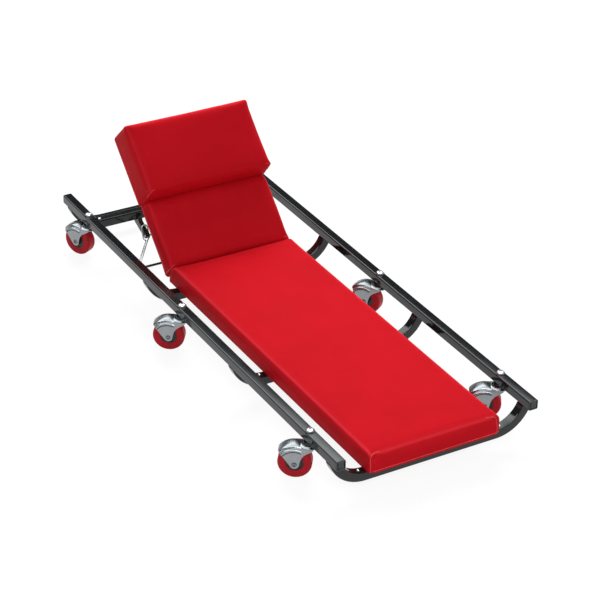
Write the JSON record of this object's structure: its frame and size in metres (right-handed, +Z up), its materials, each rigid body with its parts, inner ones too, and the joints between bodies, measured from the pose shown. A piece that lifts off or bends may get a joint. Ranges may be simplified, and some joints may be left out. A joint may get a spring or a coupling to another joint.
{
  "type": "mechanic creeper",
  "caption": "Low rolling mechanic creeper with a black tube frame, red vinyl deck, tilting padded headrest on a wire prop and swivel casters with red wheels.",
  "frame": {"origin": "on the floor under the middle of the whole box", "axes": "+Y towards the head end along the rails, +X across to the right-hand rail, +Z up"},
  "size_m": [0.4712, 1.118, 0.3005],
  "materials": {
    "frame_black": "gloss black powder coat",
    "cap_grey": "satin dark grey plastic",
    "zinc": "bright zinc plate",
    "chrome": "bright chrome plate",
    "plywood": "raw plywood",
    "red_vinyl": "smooth red vinyl over foam",
    "hub_black": "black moulded plastic",
    "tyre_red": "dark red polyurethane"
  },
  "bodies": {
    "frame": {"rail_left": "frame_black", "rail_right": "frame_black", "cap_foot_left": "cap_grey", "cap_foot_right": "cap_grey", "cap_head_left": "cap_grey", "cap_head_right": "cap_grey", "bow_foot": "frame_black", "bow_mid_foot": "frame_black", "bow_mid_head": "frame_black", "bow_head": "frame_black", "crossbar": "frame_black", "tie_rod": "frame_black", "prop_strap_left": "frame_black", "prop_strap_right": "frame_black", "stay_wire": "zinc", "main_board": "plywood", "main_pad": "red_vinyl", "screw_foot_left": "zinc", "screw_foot_right": "zinc", "screw_mid_foot_left": "zinc", "screw_mid_foot_right": "zinc", "hinge_main": "zinc", "bolt_foot_left": "zinc", "bolt_middle_left": "zinc", "bolt_head_left": "zinc", "bolt_foot_right": "zinc", "bolt_middle_right": "zinc", "bolt_head_right": "zinc"},
    "head": {"head_board": "plywood", "head_pad": "red_vinyl", "hinge_head": "zinc", "slide_bracket_left": "frame_black", "slide_bracket_right": "frame_black"},
    "prop": {"prop_wire": "zinc"},
    "caster_foot_left": {"fork_foot_left": "chrome", "axle_foot_left": "zinc"},
    "wheel_foot_left": {"hub_foot_left": "hub_black", "tyre_foot_left": "tyre_red"},
    "caster_middle_left": {"fork_middle_left": "chrome", "axle_middle_left": "zinc"},
    "wheel_middle_left": {"hub_middle_left": "hub_black", "tyre_middle_left": "tyre_red"},
    "caster_head_left": {"fork_head_left": "chrome", "axle_head_left": "zinc"},
    "wheel_head_left": {"hub_head_left": "hub_black", "tyre_head_left": "tyre_red"},
    "caster_foot_right": {"fork_foot_right": "chrome", "axle_foot_right": "zinc"},
    "wheel_foot_right": {"hub_foot_right": "hub_black", "tyre_foot_right": "tyre_red"},
    "caster_middle_right": {"fork_middle_right": "chrome", "axle_middle_right": "zinc"},
    "wheel_middle_right": {"hub_middle_right": "hub_black", "tyre_middle_right": "tyre_red"},
    "caster_head_right": {"fork_head_right": "chrome", "axle_head_right": "zinc"},
    "wheel_head_right": {"hub_head_right": "hub_black", "tyre_head_right": "tyre_red"}
  },
  "joints": [
    {"name": "head_tilt", "type": "hinge", "parent": "frame", "child": "head", "pos_m": [0.01599, 0.222, 0.039], "axis": [1, 0, 0], "range_deg": [-23, 0]},
    {"name": "prop_swing", "type": "hinge", "parent": "frame", "child": "prop", "pos_m": [0.01599, 0.385, 0.054], "axis": [1, 0, 0], "range_deg": [0, 33.38]},
    {"name": "swivel_foot_left", "type": "hinge", "parent": "frame", "child": "caster_foot_left", "pos_m": [-0.18451, -0.4527, 0.07], "axis": [0, 0, 1], "continuous": true},
    {"name": "roll_foot_left", "type": "hinge", "parent": "caster_foot_left", "child": "wheel_foot_left", "pos_m": [-0.20463, -0.43786, 0.031], "axis": [-0.5934, -0.8049, 0], "continuous": true},
    {"name": "swivel_middle_left", "type": "hinge", "parent": "frame", "child": "caster_middle_left", "pos_m": [-0.18451, 0.035, 0.07], "axis": [0, 0, 1], "continuous": true},
    {"name": "roll_middle_left", "type": "hinge", "parent": "caster_middle_left", "child": "wheel_middle_left", "pos_m": [-0.20458, 0.04991, 0.031], "axis": [-0.5962, -0.8028, 0], "continuous": true},
    {"name": "swivel_head_left", "type": "hinge", "parent": "frame", "child": "caster_head_left", "pos_m": [-0.18451, 0.4527, 0.07], "axis": [0, 0, 1], "continuous": true},
    {"name": "roll_head_left", "type": "hinge", "parent": "caster_head_left", "child": "wheel_head_left", "pos_m": [-0.19582, 0.47499, 0.031], "axis": [-0.8918, -0.4524, 0], "continuous": true},
    {"name": "swivel_foot_right", "type": "hinge", "parent": "frame", "child": "caster_foot_right", "pos_m": [0.21649, -0.4527, 0.07], "axis": [0, 0, 1], "continuous": true},
    {"name": "roll_foot_right", "type": "hinge", "parent": "caster_foot_right", "child": "wheel_foot_right", "pos_m": [0.19576, -0.43872, 0.031], "axis": [-0.5592, -0.829, 0], "continuous": true},
    {"name": "swivel_middle_right", "type": "hinge", "parent": "frame", "child": "caster_middle_right", "pos_m": [0.21649, -0.035, 0.07], "axis": [0, 0, 1], "continuous": true},
    {"name": "roll_middle_right", "type": "hinge", "parent": "caster_middle_right", "child": "wheel_middle_right", "pos_m": [0.20324, -0.0138, 0.031], "axis": [-0.848, -0.5299, 0], "continuous": true},
    {"name": "swivel_head_right", "type": "hinge", "parent": "frame", "child": "caster_head_right", "pos_m": [0.21649, 0.4527, 0.07], "axis": [0, 0, 1], "continuous": true},
    {"name": "roll_head_right", "type": "hinge", "parent": "caster_head_right", "child": "wheel_head_right", "pos_m": [0.19791, 0.46943, 0.031], "axis": [-0.6691, -0.7431, 0], "continuous": true}
  ],
  "couplings": [
    {"joint": "prop_swing", "follows": "head_tilt", "ratio": -1.4479}
  ]
}
